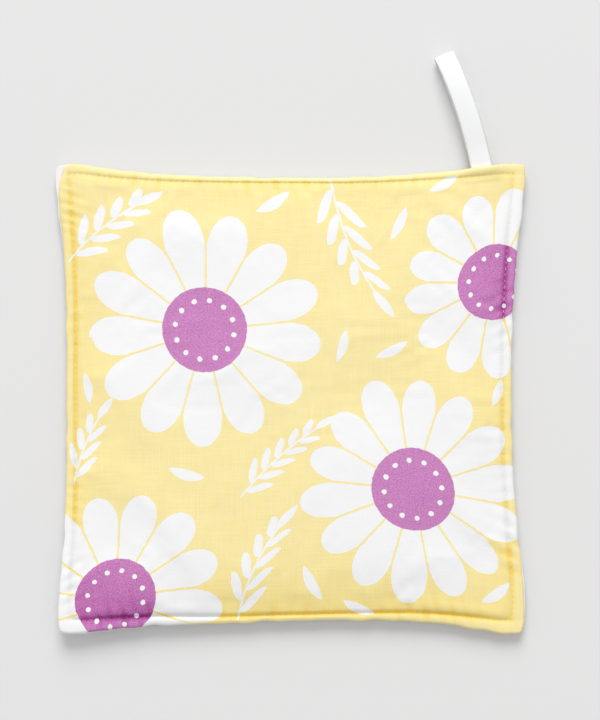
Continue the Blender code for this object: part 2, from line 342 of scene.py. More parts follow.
class PadLooks(bpy.types.PropertyGroup):
    """Relief of the padded front."""

    channel: FloatProperty(
        name="Channel", description="Depth of the topstitched channel",
        default=0.0008, min=0.0, subtype="DISTANCE",
    )
    channel_width: FloatProperty(
        name="Channel Width", description="Half width of the channel",
        default=0.0008, min=0.0001, subtype="DISTANCE",
    )
    pucker: FloatProperty(
        name="Puckers", description="Strength of the puckers beside the stitches",
        default=1.0, min=0.0, subtype="FACTOR",
    )
    pucker_reach: FloatProperty(
        name="Pucker Reach", description="How far puckers run in from the stitches",
        default=0.0045, min=0.0001, subtype="DISTANCE",
    )
    lumps: FloatProperty(
        name="Lumps", description="Unevenness of the padding",
        default=0.00035, min=0.0, subtype="DISTANCE",
    )
    slack: FloatProperty(
        name="Slack", description="Share by which the front is cut larger than its padding",
        default=0.006, min=0.0, subtype="FACTOR",
    )
    filling: FloatProperty(
        name="Filling", description="Pressure of the padding under the front",
        default=0.25, min=0.0,
    )
    wrinkles: FloatProperty(
        name="Wrinkles", description="Share of the settled cloth's wrinkles that is kept",
        default=0.5, min=0.0, max=1.0, subtype="FACTOR",
    )
    back_sheet: FloatProperty(
        name="Back Cloth", description="Thickness of the white back cloth",
        default=0.0007, min=0.0001, subtype="DISTANCE",
    )


class PrintLooks(bpy.types.PropertyGroup):
    """Colours and weave of the cloths."""

    ground: FloatVectorProperty(
        name="Ground", description="Colour of the print's ground",
        default=(0.942, 0.806, 0.382), min=0.0, max=1.0, subtype="COLOR",
    )
    petal: FloatVectorProperty(
        name="Petals", description="Colour of the bare canvas in the print",
        default=(0.912, 0.912, 0.917), min=0.0, max=1.0, subtype="COLOR",
    )
    disc: FloatVectorProperty(
        name="Discs", description="Colour of the flowers' discs",
        default=(0.590, 0.232, 0.512), min=0.0, max=1.0, subtype="COLOR",
    )
    back: FloatVectorProperty(
        name="Back", description="Colour of the back cloth",
        default=(0.915, 0.915, 0.918), min=0.0, max=1.0, subtype="COLOR",
    )
    yarn: FloatProperty(
        name="Yarn", description="Distance between the canvas's yarns",
        default=0.00053, min=0.0001, subtype="DISTANCE",
    )


class StitchLooks(bpy.types.PropertyGroup):
    """Topstitching."""

    count: IntProperty(
        name="Count", description="Stitches along each side",
        default=74, min=4,
    )
    length: FloatProperty(
        name="Length", description="Length of thread that shows in a stitch",
        default=0.0023, min=0.0003, subtype="DISTANCE",
    )
    thread: FloatProperty(
        name="Thread", description="Width of the thread",
        default=0.00036, min=0.0001, subtype="DISTANCE",
    )
    sides: IntProperty(
        name="Sides", description="Sides of the thread's section",
        default=6, min=3, max=12,
    )
    colour: FloatVectorProperty(
        name="Colour", description="Colour of the thread",
        default=(0.930, 0.815, 0.440), min=0.0, max=1.0, subtype="COLOR",
    )


class TapeLooks(bpy.types.PropertyGroup):
    """Hanging tape."""

    width: FloatProperty(
        name="Width", description="Width of the tape",
        default=0.0100, min=0.001, subtype="DISTANCE",
    )
    thickness: FloatProperty(
        name="Thickness", description="Thickness of the tape",
        default=0.0008, min=0.0001, subtype="DISTANCE",
    )
    cup: FloatProperty(
        name="Cup", description="How far the tape's middle stands above its edges",
        default=0.00025, subtype="DISTANCE",
    )
    colour: FloatVectorProperty(
        name="Colour", description="Colour of the tape",
        default=(0.924, 0.927, 0.932), min=0.0, max=1.0, subtype="COLOR",
    )


class StageLooks(bpy.types.PropertyGroup):
    """Floor, light and camera."""

    floor: FloatVectorProperty(
        name="Floor", description="Colour of the floor",
        default=(0.775, 0.773, 0.772), min=0.0, max=1.0, subtype="COLOR",
    )
    sky: FloatProperty(
        name="Fill", description="Strength of the even light from all round",
        default=0.61, min=0.0,
    )
    key: FloatProperty(
        name="Key", description="Power of the large soft light beyond the top edge",
        default=264.0, min=0.0, subtype="POWER",
    )
    side: FloatProperty(
        name="Side", description="Power of the weak soft light from the left",
        default=14.0, min=0.0, subtype="POWER",
    )
    distance: FloatProperty(
        name="Distance", description="Height of the camera above the pad",
        default=1.30, min=0.2, subtype="DISTANCE",
    )


def mix(start, end, share):
    """The value at a share of the way from start to end."""
    return start + (end - start) * share


def ease(low, high, value):
    """A soft step from 0 at low to 1 at high."""
    share = np.clip((value - low) / (high - low), 0.0, 1.0)
    return share * share * (3 - 2 * share)


def smooth(xs, ys, x):
    """Heights at x of a smooth curve through the points (xs, ys)."""
    xs, ys, x = np.asarray(xs), np.asarray(ys), np.asarray(x, float)
    slopes = np.gradient(ys, xs)
    n = np.clip(np.searchsorted(xs, x) - 1, 0, len(xs) - 2)
    step = xs[n + 1] - xs[n]
    t = (x - xs[n]) / step
    rise = ys[n] * (1 + 2 * t) * (1 - t) ** 2 + ys[n + 1] * t * t * (3 - 2 * t)
    lean = slopes[n] * t * (1 - t) ** 2 - slopes[n + 1] * t * t * (1 - t)
    return rise + lean * step


def read(rows, side, along):
    """A table's values for one side at places along it."""
    return smooth([row.along for row in rows], [getattr(row, side) for row in rows], along)


def middle(corner_value, side_value, along):
    """A value that changes from the corners to the middle of a side."""
    return mix(corner_value, side_value, 1 - abs(along) ** SIDE_BOW)


def seen_inset(place, side, along):
    """Distance in from a side as seen from above, for places that near it."""
    margin = middle(SIDES[side].corner, SIDES[side].margin, along)
    inset = HALF * (1 - abs(place))
    near = margin * inset / SEAM_MARGIN
    ease_in = margin + (MARGIN_EASE - margin) * (inset - SEAM_MARGIN) / (MARGIN_EASE - SEAM_MARGIN)
    return np.where(inset < SEAM_MARGIN, near, np.where(inset < MARGIN_EASE, ease_in, inset))


def share_across(place, low_side, high_side, along):
    """Share of the way from the low side to the high side, as seen from above."""
    low = seen_inset(place, low_side, along) / (2 * HALF)
    high = 1 - seen_inset(place, high_side, along) / (2 * HALF)
    return np.where(place < 0, low, high)


def strayed(u, v):
    """How far the border strays in the plane, where it puckers between its stitches."""
    out = {}
    for side, row in SIDES.items():
        along, inset = side_places(side, u, v)
        waves = sum(
            np.sin(2 * pi * HALF * along / wave.length + wave.start) for wave in EDGE_WAVES
        )
        near = np.clip(1 - inset / SEAM_MARGIN, 0, 1)
        held = np.clip(HALF * (1 - abs(along)) / SEAM_MARGIN, 0, 1)
        out[side] = row.waves * waves / len(EDGE_WAVES) * near * held
    return out["right"] - out["left"], out["back"] - out["front"]


def plan(u, v, past=None):
    """Places in the plane of points of the pad, whose sides are at u or v = -1 and 1."""
    over = {side: read(past, side, v if side in ("left", "right") else u) if past else 0.0
            for side in SIDES}
    up, across = (1 + v) / 2, (1 + u) / 2
    left = mix(CORNERS["front_left"].x, CORNERS["back_left"].x, up)
    left = left + read(DRAWN_IN, "left", v) - over["left"]
    right = mix(CORNERS["front_right"].x, CORNERS["back_right"].x, up)
    right = right + over["right"] - read(DRAWN_IN, "right", v)
    front = mix(CORNERS["front_left"].y, CORNERS["front_right"].y, across)
    front = front + read(DRAWN_IN, "front", u) - over["front"]
    back = mix(CORNERS["back_left"].y, CORNERS["back_right"].y, across)
    back = back + over["back"] - read(DRAWN_IN, "back", u)
    x = mix(left, right, share_across(u, "left", "right", v))
    y = mix(front, back, share_across(v, "front", "back", u))
    corner = np.hypot(HALF * (1 - abs(u)), HALF * (1 - abs(v)))
    inward = CORNER_ROUND * np.clip(1 - corner / CORNER_ROUND_REACH, 0, 1) ** 2
    stray_x, stray_y = strayed(u, v)
    x = x - np.sign(u) * inward + stray_x
    y = y - np.sign(v) * inward + stray_y
    return (x, y) if past else (x + rolled_in(u, v), y)


def rolled_in(u, v):
    """How far the front's left border gives way to the back cloth at its upper corner."""
    down = np.clip(1 - HALF * (1 - v) / ROLL_LENGTH, 0, 1)
    across = np.clip(1 - HALF * (1 + u) / SEAM_MARGIN, 0, 1)
    return ROLL_WIDTH * across * down**ROLL_TAPER


def lift(u, v):
    """How far the cloth that lies on the surface curls up from it."""
    flat = np.ones(np.broadcast(u, v).shape)
    for place in (u, v):
        flat = flat * (1 - np.clip(1 - HALF * (1 - abs(place)) / SEAM_LIFT_WIDTH, 0, 1) ** 2)
    height = SEAM_LIFT * (1 - flat)
    for corner in CORNERS.values():
        away = HALF * np.hypot(u - np.sign(corner.x), v - np.sign(corner.y))
        height = height + corner.lift * np.clip(1 - away / CORNER_LIFT_REACH, 0, 1) ** 2
    return height


def swell(inset, stitch):
    """Share of the crown's height that is reached at distances in from an edge."""
    border = stitch * (1 - (1 - np.clip(inset / SEAM_MARGIN, 0, 1)) ** BORDER_ROUND)
    inward = np.clip(inset - SEAM_MARGIN, 0, None)
    foot = FOOT_SHARE * (1 - np.exp(-inward / FOOT))
    shoulder = SHOULDER_SHARE * (1 - np.exp(-inward / SHOULDER))
    even = 1 - (1 - inward / (HALF - SEAM_MARGIN)) ** 2
    crown = foot + shoulder + (1 - FOOT_SHARE - SHOULDER_SHARE) * even
    return np.where(inset < SEAM_MARGIN, border, mix(stitch, 1.0, crown))


def tape_raise(u, v):
    """How far the tape in the seam lifts the front cloth over it."""
    beside = (HALF * u - TAPE_X) / TAPE_RAISE_HALF_WIDTH
    depth = np.clip(1 - HALF * (1 - v) / TAPE_RAISE_DEPTH, 0, 1)
    return TAPE_RAISE * depth / (1 + beside**6)


def side_places(side, u, v):
    """For one side: places along it, and distances in from it."""
    along, place = (v, u) if side in ("left", "right") else (u, v)
    outward = -1 if side in ("left", "front") else 1
    return along, HALF * (1 - outward * place)


def puckers(u, v, looks):
    """Small folds across the topstitching."""
    height = np.zeros(np.broadcast(u, v).shape)
    for row in PUCKERS:
        along, inset = side_places(row.side, u, v)
        place = along * HALF
        wave = np.sin(2 * pi * (place + row.lean * inset) / row.wave)
        back = 2 * pi * (place - row.lean * inset) / (row.wave * SECOND_WAVE.length)
        wave = wave + SECOND_SHARE * np.sin(back + SECOND_WAVE.start)
        where = np.exp(-(((along - row.at) / row.spread) ** 2))
        reach = np.exp(-abs(inset - SEAM_MARGIN) / looks.pucker_reach)
        height = height + row.height * wave * where * reach
    return looks.pucker * height


def lumps(u, v, size, seed=11, waves=7):
    """Soft unevenness of the padding, as a few long waves."""
    chance = np.random.default_rng(seed)
    height = np.zeros(np.broadcast(u, v).shape)
    for _ in range(waves):
        turn, phase = chance.uniform(0, 2 * pi, 2)
        wave = chance.uniform(*LUMP_WAVES)
        across = HALF * (u * np.cos(turn) + v * np.sin(turn))
        height = height + np.sin(2 * pi * across / wave + phase)
    return size * height / np.sqrt(waves)


def hollows(x, y):
    """Soft hollows in the padding."""
    depth = np.zeros(np.broadcast(x, y).shape)
    for row in HOLLOWS:
        away = np.hypot(x - row.x, y - row.y) / row.reach
        depth = depth + row.depth * np.exp(-(away**2))
    return depth


def edge_distances(u, v):
    """Distances in from the nearest edge, and from the corner along that edge."""
    near, far = np.maximum(abs(u), abs(v)), np.minimum(abs(u), abs(v))
    return HALF * (1 - near), HALF * (1 - far)


def groove(nearest, outer, inner):
    """1 along the topstitching, falling off outwards and inwards."""
    away = nearest - SEAM_MARGIN
    return np.exp(-((away / np.where(away < 0, outer, inner)) ** 2))


def channel_share(u, v):
    """The nearest side's share of the channel, eased from side to side at a corner."""
    weighed, total = 0.0, 0.0
    for side, row in SIDES.items():
        weight = np.exp(-side_places(side, u, v)[1] / CHANNEL_BLEND)
        weighed, total = weighed + weight * row.channel, total + weight
    return weighed / total


def painted_shade_depth(u, v, looks):
    """Painted shade on the print: most in the channel and in the puckers' hollows, with some at the
    edge, on the slopes inside the channel and towards the front edge.
    """
    nearest, along = edge_distances(u, v)
    line = LINE_PAINTED_SHADE * channel_share(u, v) * groove(nearest, *LINE_SLOPES)
    line = line * mix(LINE_AT_CORNER, 1.0, ease(*LINE_CORNER, along))
    edge = EDGE_PAINTED_SHADE * np.exp(-((nearest / EDGE_REACH) ** 2))
    inside = ease(SEAM_MARGIN + SLOPE_START[0], SEAM_MARGIN + SLOPE_START[1], nearest)
    slope = SLOPE_PAINTED_SHADE * channel_share(u, v) * np.exp(-nearest / SLOPE_REACH)
    # painted shade, darker towards the front edge, whose slope faces away from the key light
    front = FRONT_PAINTED_SHADE * np.exp(-HALF * (1 + v) / FRONT_SLOPE_REACH)
    folds = FOLD_PAINTED_SHADE * np.clip(-puckers(u, v, looks) / FOLD_HEIGHT, 0, 1)
    return np.clip(line + edge + inside * (front + slope) + folds, 0, DEEPEST_PAINTED_SHADE)


def front_under(u, v):
    """Lower face of the padded front."""
    return lift(u, v) + BACK_CLOTH + GAP


def front_top(u, v, looks):
    """Crowned upper face of the front, with its channel, puckers and turned edge."""
    across, along = HALF * (1 - abs(u)), HALF * (1 - abs(v))
    swell_x = swell(across, np.where(u < 0, SIDES["left"].stitch, SIDES["right"].stitch))
    swell_y = swell(along, np.where(v < 0, SIDES["front"].stitch, SIDES["back"].stitch))
    crown = (PAD_HEIGHT - BACK_CLOTH - GAP - RIM) * swell_x * swell_y
    nearest = np.minimum(across, along)
    width = looks.channel_width
    channel = looks.channel * groove(nearest, width, CHANNEL_INSIDE * width)
    corner = ease(*CHANNEL_CORNER, edge_distances(u, v)[1])
    channel = channel * channel_share(u, v) * mix(CHANNEL_AT_CORNER, 1.0, corner)
    turned = RIM_DROP * np.clip(1 - nearest / RIM_ROUND, 0, 1) ** 2
    soft = lumps(u, v, looks.lumps) * swell_x * swell_y
    height = front_under(u, v) + RIM + tape_raise(u, v) + crown - channel - turned
    return height + soft - hollows(HALF * u, HALF * v) + puckers(u, v, looks)


def settling_piece(start, count):
    """A coarse sheet of the front cloth, held at the topstitching."""
    data = bpy.data.meshes.new("settling_cloth")
    data.from_pydata(start.tolist(), [], grid_faces(count))
    piece = bpy.data.objects.new("settling_cloth", data)
    bpy.context.scene.collection.objects.link(piece)
    seam = piece.vertex_groups.new(name="seam")
    seam.add([i * count + j for i, j in rim_loop(count)], 1.0, "REPLACE")
    return piece


def settled_heights(looks, lines):
    """How far the front cloth rises or sinks as it settles over its padding.

    Blender's cloth simulation settles a coarse sheet, cut a little too large and
    sewn down at the topstitching. Its wrinkles are read at the fine grid's lines.
    """
    edge = 1 - SEAM_MARGIN / HALF
    places = np.linspace(-edge, edge, SETTLE_LINES)
    u, v = np.meshgrid(places, places, indexing="ij")
    x, y = plan(u, v)
    start = np.stack((x, y, front_top(u, v, looks)), axis=-1).reshape(-1, 3)
    piece = settling_piece(start, SETTLE_LINES)
    cloth = piece.modifiers.new("cloth", "CLOTH")
    cloth.collision_settings.use_collision = False
    cloth.settings.vertex_group_mass = "seam"
    for name, value in CLOTH_SETTINGS.items():
        setattr(cloth.settings, name, value)
    cloth.settings.shrink_min = -looks.slack
    cloth.settings.use_pressure = True
    cloth.settings.uniform_pressure_force = looks.filling
    cloth.settings.effector_weights.gravity = 0.0
    scene = bpy.context.scene
    for number in range(1, SETTLE_FRAMES + 1):
        scene.frame_set(number)
    settled = piece.evaluated_get(bpy.context.evaluated_depsgraph_get()).data
    moved = np.empty(3 * len(start))
    settled.vertices.foreach_get("co", moved)
    scene.frame_set(1)
    bpy.data.objects.remove(piece)
    rise = (moved.reshape(-1, 3) - start)[:, 2].reshape(u.shape)
    padded = np.pad(rise, SETTLE_BLUR, mode="edge")
    size = 2 * SETTLE_BLUR + 1
    windows = np.lib.stride_tricks.sliding_window_view(padded, (size, size))
    held = ease(0.0, SETTLE_EASE, HALF * (edge - np.maximum(abs(u), abs(v))))
    wrinkles = looks.wrinkles * held * (rise - windows.mean(axis=(2, 3)))
    wrinkles = SETTLE_CAP * np.tanh(wrinkles / SETTLE_CAP)
    part = np.stack([smooth(places, row, lines) for row in wrinkles])
    fine = np.stack([smooth(places, column, lines) for column in part.T], axis=1)
    inside = abs(lines) < edge
    return np.where(np.outer(inside, inside), fine, 0.0)


def back_under(u, v, looks):
    """Lower face of the back cloth, drawn up along the stitches."""
    nearest = edge_distances(u, v)[0]
    channel = looks.channel * groove(nearest, looks.channel_width, looks.channel_width)
    turned = RIM_DROP * np.clip(1 - nearest / RIM_ROUND, 0, 1) ** 2
    return lift(u, v) + UNDERSIDE_RELIEF * (channel + turned)


def back_top(u, v, looks):
    """Upper face of the back cloth, which meets the front at the seam."""
    turning = 1 - ease(*TURNING, edge_distances(u, v)[0])
    return lift(u, v) + mix(looks.back_sheet, BACK_CLOTH + GAP - SEAM_TOUCH, turning)


def grid_lines(zones):
    """Places of a grid's lines from -1 to 1, closer together towards the edges."""
    insets, start = [], 0.0
    for zone in zones:
        insets += list(np.linspace(start, zone.end, zone.lines, endpoint=False))
        start = zone.end
    half = 1 - np.array(insets) / HALF
    return np.concatenate((-half, [0.0], half[::-1]))


def grid_faces(count):
    """Faces of a square grid of points, counter-clockwise from above."""
    return [
        (i * count + j, (i + 1) * count + j, (i + 1) * count + j + 1, i * count + j + 1)
        for i in range(count - 1) for j in range(count - 1)
    ]


def rim_loop(count):
    """Grid places round the rim, counter-clockwise from the front left corner."""
    last = count - 1
    return (
        [(i, 0) for i in range(last)]
        + [(last, j) for j in range(last)]
        + [(i, last) for i in range(last, 0, -1)]
        + [(0, j) for j in range(last, 0, -1)]
    )


def cell_outline(i, j, step, last):
    """Corners of a coarse cell, and the fine places along the sides on the rim."""
    far_i, far_j = i + step, j + step
    front = range(i, far_i, 1 if j == 0 else step)
    right = range(j, far_j, 1 if far_i == last else step)
    back = range(far_i, i, -1 if far_j == last else -step)
    left = range(far_j, j, -1 if i == 0 else -step)
    return (
        [(p, j) for p in front] + [(far_i, p) for p in right]
        + [(p, far_j) for p in back] + [(i, p) for p in left]
    )


def layer_mesh(name, zones, under, top, past=None, under_step=1, depth=None):
    """A closed cloth layer between its two faces, with its flat places as UV map.

    depth gives the upper face's attribute of painted shade, which the print's material reads.
    """
    lines = grid_lines(zones)
    count = len(lines)
    last = count - 1
    grid_u, grid_v = np.meshgrid(lines, lines, indexing="ij")
    x, y = plan(grid_u, grid_v, past)
    upper = np.stack((x, y, top(grid_u, grid_v)), axis=-1).reshape(-1, 3)
    rim = rim_loop(count)
    kept = dict.fromkeys(rim)
    kept |= dict.fromkeys(
        (i, j) for i in range(0, count, under_step) for j in range(0, count, under_step)
    )
    places = list(kept)
    rows, columns = (np.array(part) for part in zip(*places))
    low_u, low_v = lines[rows], lines[columns]
    low_x, low_y = plan(low_u, low_v, past)
    lower = np.stack((low_x, low_y, under(low_u, low_v)), axis=-1)
    below = {place: count * count + n for n, place in enumerate(places)}
    faces = grid_faces(count)
    for i in range(0, last, under_step):
        for j in range(0, last, under_step):
            outline = cell_outline(i, j, under_step, last)
            faces.append(tuple(below[place] for place in reversed(outline)))
    for place, following in zip(rim, rim[1:] + rim[:1]):
        high, high_next = (p[0] * count + p[1] for p in (place, following))
        faces.append((below[place], below[following], high_next, high))
    flat = np.concatenate((
        np.stack((grid_u, grid_v), axis=-1).reshape(-1, 2), np.stack((low_u, low_v), axis=-1)
    ))
    data = new_mesh(name, np.concatenate((upper, lower)), faces, flat * HALF)
    if depth:
        stored = data.attributes.new("crease", "FLOAT", "POINT")
        values = np.concatenate((depth(grid_u, grid_v).ravel(), np.zeros(len(places))))
        stored.data.foreach_set("value", values)
    return data


def new_mesh(name, points, faces, flat):
    """A smooth mesh with a UV map of flat places, in metres from the middle."""
    data = bpy.data.meshes.new(name)
    data.from_pydata(points.tolist(), [], faces)
    data.update()
    corners = np.zeros(len(data.loops), np.int32)
    data.loops.foreach_get("vertex_index", corners)
    flat_map = data.uv_layers.new(name="flat_cloth")
    flat_map.data.foreach_set("uv", (flat[corners] / UV_SPAN + 0.5).ravel())
    data.shade_smooth()
    return data


def add_piece(name, data, material_slot, *nodes):
    """An object for a finished mesh, riding on the root body in place of its nodes."""
    piece = bpy.data.objects.new(name, data)
    bpy.context.scene.collection.objects.link(piece)
    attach(piece, ROOT)
    if nodes:
        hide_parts(*nodes)
    return piece


class Term:
    """A node's output. Plain arithmetic on it adds Math nodes to its tree."""

    def __init__(self, socket):
        """Takes an output socket of any node tree."""
        self.socket = socket
        self.tree = socket.id_data

    def __add__(self, other):
        """The sum."""
        return calc("ADD", self, other)

    def __mul__(self, other):
        """The product."""
        return calc("MULTIPLY", self, other)

    def __sub__(self, other):
        """The difference."""
        return calc("SUBTRACT", self, other)

    def __rsub__(self, other):
        """The difference, taken from a number."""
        return calc("SUBTRACT", other, self)

    def __truediv__(self, other):
        """The quotient."""
        return calc("DIVIDE", self, other)

    def __rtruediv__(self, other):
        """The quotient of a number."""
        return calc("DIVIDE", other, self)

    def __gt__(self, other):
        """1 where it is greater, and 0 elsewhere."""
        return calc("GREATER_THAN", self, other)

    def __lt__(self, other):
        """1 where it is less, and 0 elsewhere."""
        return calc("LESS_THAN", self, other)

    def __abs__(self):
        """The value without its sign."""
        return calc("ABSOLUTE", self)


def feed(socket, value):
    """Links a term or an output to a socket, or sets the socket's value."""
    source = value.socket if isinstance(value, Term) else value
    if isinstance(source, bpy.types.NodeSocket):
        socket.id_data.links.new(source, socket)
    else:
        socket.default_value = source


def add_node(tree, kind, **values):
    """A node. Names in lower case are its settings, and others its inputs."""
    node = tree.nodes.new(kind)
    for label, value in values.items():
        if label.islower():
            setattr(node, label, value)
    for label, value in values.items():
        if not label.islower():
            feed(node.inputs[label.replace("_", " ")], value)
    return node


def shared_tree(*values):
    """The tree of the first term among numbers and terms."""
    return next(value.tree for value in values if isinstance(value, Term))


def calc(operation, *values, clamp=False):
    """A Math node's result. Values are numbers or terms, with one term at least."""
    node = add_node(shared_tree(*values), "ShaderNodeMath", operation=operation, use_clamp=clamp)
    for socket, value in zip(node.inputs, values):
        feed(socket, value)
    return Term(node.outputs[0])


def length_of(x, y):
    """Distance from the origin."""
    return calc("SQRT", x * x + y * y)


def vector_calc(operation, first, second):
    """A Vector Math node's result. The second value is a number for SCALE."""
    node = add_node(shared_tree(first, second), "ShaderNodeVectorMath", operation=operation)
    feed(node.inputs[0], first)
    feed(node.inputs["Scale" if operation == "SCALE" else 1], second)
    return Term(node.outputs[0])


def soft_step(value, edge=SOFT_EDGE):
    """1 where a value is above 0 and 0 below it, with a soft edge in its units."""
    node = add_node(value.tree, "ShaderNodeMapRange", interpolation_type="SMOOTHSTEP",
                    Value=value, From_Min=-edge, From_Max=edge)
    return Term(node.outputs["Result"])


def split(vector):
    """X and Y of a vector."""
    node = add_node(vector.tree, "ShaderNodeSeparateXYZ", Vector=vector)
    return Term(node.outputs["X"]), Term(node.outputs["Y"])


def noise(place, scale, detail=2.0, output="Fac"):
    """A Noise texture's output."""
    node = add_node(place.tree, "ShaderNodeTexNoise", Vector=place, Scale=scale, Detail=detail)
    return Term(node.outputs[output])


def wandered(place, scale, detail, size):
    """A place moved about by noise."""
    wander = noise(place, scale, detail, "Color")
    wander = vector_calc("SUBTRACT", wander, (0.5, 0.5, 0.5))
    return vector_calc("ADD", place, vector_calc("SCALE", wander, size))


def shaded(colour, share):
    """A colour made darker or lighter by a share, with its alpha."""
    return (*(share * part for part in colour), 1)


def blend_colour(share, first, second):
    """Two colours mixed by a share."""
    node = add_node(share.tree, "ShaderNodeMix", data_type="RGBA", Factor=share)
    colours = [socket for socket in node.inputs if socket.type == "RGBA"]
    feed(colours[0], first)
    feed(colours[1], second)
    return Term(next(socket for socket in node.outputs if socket.type == "RGBA"))


def node_group(name, inputs, outputs):
    """A new shader group with its sockets: (tree, inputs by name, output node)."""
    tree = bpy.data.node_groups.new(name, "ShaderNodeTree")
    for label in inputs:
        kind = "NodeSocketVector" if label == "Place" else "NodeSocketFloat"
        tree.interface.new_socket(label, in_out="INPUT", socket_type=kind)
    for label in outputs:
        tree.interface.new_socket(label, in_out="OUTPUT", socket_type="NodeSocketFloat")
    entry = tree.nodes.new("NodeGroupInput")
    end = tree.nodes.new("NodeGroupOutput")
    return tree, {label: Term(entry.outputs[label]) for label in inputs}, end


def use_group(group, place, values):
    """Outputs by name of a group node that is fed a place and a table's row of values."""
    node = add_node(place.tree, "ShaderNodeGroup", node_tree=group)
    feed(node.inputs["Place"], place)
    for label, value in values.items():
        node.inputs[label.title()].default_value = value
    return {socket.name: Term(socket) for socket in node.outputs}


def turned_place(given):
    """X and Y of a place seen from a motif's own centre and turn."""
    x, y = split(given["Place"])
    x, y = x - given["X"], y - given["Y"]
    cos_turn, sin_turn = calc("COSINE", given["Turn"]), calc("SINE", given["Turn"])
    return x * cos_turn + y * sin_turn, y * cos_turn - x * sin_turn


def daisy_group():
    """A flower with many slender petals round a disc with a ring of dots."""
    labels = ("Place", "X", "Y", "Turn", "Reach", "Disc", "Petals")
    tree, given, end = node_group("daisy", labels, ("White", "Disc"))
    x, y = turned_place(given)
    away, angle = length_of(x, y), calc("ARCTAN2", y, x)

    def folded(count):
        """A sector's angle, its number, and a place's angle from its middle."""
        sector = 2 * pi / count
        share = angle / sector
        number = calc("FLOOR", share)
        return sector, number, (share - number - 0.5) * sector

    sector, number, local = folded(given["Petals"])
    chance = add_node(tree, "ShaderNodeTexWhiteNoise", noise_dimensions="1D",
                      W=number + given["X"])
    shortest, spare = PETAL_LENGTHS[0], PETAL_LENGTHS[1] - PETAL_LENGTHS[0]
    reach = given["Reach"] * (Term(chance.outputs["Value"]) * spare + shortest)
    along, beside = away * calc("COSINE", local), abs(away * calc("SINE", local))
    root = given["Disc"] * PETAL_ROOT
    span = reach - root
    share = calc("DIVIDE", along - root, span, clamp=True)
    past = calc("DIVIDE", share - PETAL_WIDEST, 1 - PETAL_WIDEST, clamp=True)
    tip = calc("SQRT", calc("SUBTRACT", 1.0, calc("POWER", past, PETAL_TIP), clamp=True))
    half_sector = calc("TANGENT", sector * 0.5)
    room = along * half_sector - PETAL_GAP
    full = (span * PETAL_WIDEST + root) * half_sector * PETAL_FULL
    petal = soft_step(calc("MINIMUM", room, full) * tip - beside)
    disc = soft_step(given["Disc"] - away)
    dot_angle = folded(DOT_COUNT)[2]
    dot_x = away * calc("COSINE", dot_angle) - given["Disc"] * DOT_RING
    dot_y = away * calc("SINE", dot_angle)
    dot = soft_step(given["Disc"] * DOT_SIZE - length_of(dot_x, dot_y))
    feed(end.inputs["White"], calc("MAXIMUM", petal, disc))
    feed(end.inputs["Disc"], disc * (1.0 - dot))
    return tree


def almond(share, width, beside):
    """How far a place lies inside a pointed leaf, from its share of the length."""
    bow = calc("MAXIMUM", (1.0 - share) * share * 4.0, 0.0)
    return calc("POWER", bow, LEAF_BOW) * width - beside


def sprig_group():
    """A bent stem with slanting leaves on both sides and one at its tip."""
    labels = ("Place", "X", "Y", "Turn", "Bend", "Length", "Leaf", "Width")
    tree, given, end = node_group("sprig", labels, ("White",))
    x, y = turned_place(given)
    y = y - x * x * given["Bend"]
    beside = abs(y)
    pitch = given["Leaf"] * LEAF_PITCH
    base = (y < 0.0) * (pitch * 0.5) + x + beside / -tan(LEAF_SLANT)
    number = calc("ROUND", base / pitch)
    across = abs(base - number * pitch) * sin(LEAF_SLANT)
    up_stem = number * pitch / given["Length"]
    leaf = calc("MAXIMUM", given["Leaf"] * (up_stem * -LEAF_TAPER + 1.0), 0.1)
    share = beside / sin(LEAF_SLANT) / leaf
    inside = soft_step(almond(share, given["Width"], across))
    leaves = inside * ((number > 0.5) * (up_stem < 1.0))
    tip_share = (x - given["Length"] * TIP_START) / (given["Leaf"] * TIP_LENGTH)
    tip = soft_step(almond(tip_share, given["Width"], beside))
    stem = soft_step(STEM_HALF_WIDTH - beside) * ((x > 0.0) * (x < given["Length"]))
    feed(end.inputs["White"], calc("MAXIMUM", leaves, calc("MAXIMUM", stem, tip)))
    return tree


def leaf_group():
    """One loose pointed leaf."""
    labels = ("Place", "X", "Y", "Turn", "Length", "Width")
    tree, given, end = node_group("loose_leaf", labels, ("White",))
    x, y = turned_place(given)
    beside = abs(y - x * x * LEAF_BEND)
    share = x / given["Length"] + 0.5
    feed(end.inputs["White"], soft_step(almond(share, given["Width"], beside)))
    return tree


def weave_group():
    """Plain weave: its height, and the tone of its uneven yarns."""
    tree, given, end = node_group("plain_weave", ("Place", "Yarn"), ("Height", "Tone"))
    place = wandered(given["Place"], scale=0.35, detail=2.0, size=0.5)
    wave_x, wave_y = (calc("SINE", side * pi / given["Yarn"]) for side in split(place))
    crossing = wave_x * wave_y * 0.45
    rounds = (wave_x * wave_x + wave_y * wave_y) * 0.25
    warp, weft = (
        noise(vector_calc("MULTIPLY", place, stretch), scale=1.0)
        for stretch in ((1.9, 0.05, 1.0), (0.05, 1.9, 1.0))
    )
    streaks = warp + weft - 1.0
    feed(end.inputs["Height"], crossing + rounds + streaks)
    feed(end.inputs["Tone"], crossing + streaks * 1.6)
    return tree


def new_shader(name):
    """A new material and its shader."""
    material = bpy.data.materials.new(name)
    material.use_nodes = True
    return material, material.node_tree.nodes["Principled BSDF"]


def finish_shader(shader, colour, roughness, height, relief):
    """Gives a shader its colour, roughness and bump."""
    bump = add_node(shader.id_data, "ShaderNodeBump", Strength=relief.strength,
                    Distance=relief.distance, Height=height)
    feed(shader.inputs["Base Color"], colour)
    feed(shader.inputs["Roughness"], roughness)
    feed(shader.inputs["Normal"], bump.outputs["Normal"])


